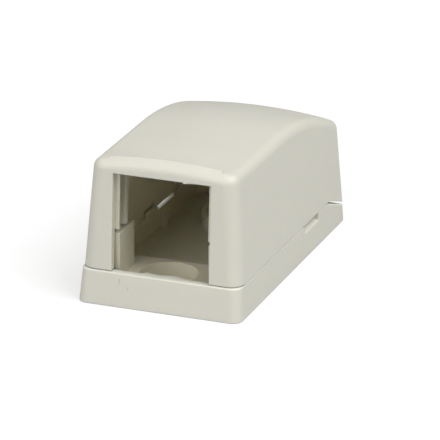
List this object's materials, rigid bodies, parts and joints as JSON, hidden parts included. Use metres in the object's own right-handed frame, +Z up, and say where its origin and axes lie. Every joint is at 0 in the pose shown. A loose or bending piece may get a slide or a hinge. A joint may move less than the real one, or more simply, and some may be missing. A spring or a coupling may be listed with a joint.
{
  "type": "surface mount jack box",
  "caption": "Small box for one snap-in data jack: shallow drafted base with screw wells and jack guides, and a hooded cover with a front window and a roof that falls to the rear.",
  "frame": {"origin": "middle of the footprint, on the surface that the box stands on", "axes": "+Z up from the mounting surface, +Y from the jack window towards the plain rear, +X to the right seen from the window's side"},
  "size_m": [0.0276, 0.0506, 0.0243],
  "materials": {
    "base_plastic": "fine moulded texture",
    "cover_plastic": "fine moulded texture"
  },
  "bodies": {
    "base": {"base": "base_plastic"},
    "cover": {"cover": "cover_plastic"}
  },
  "joints": [
    {"name": "cover_lift", "type": "slide", "parent": "base", "child": "cover", "axis": [0, 0, 1], "range_m": [0, 0.025]}
  ]
}
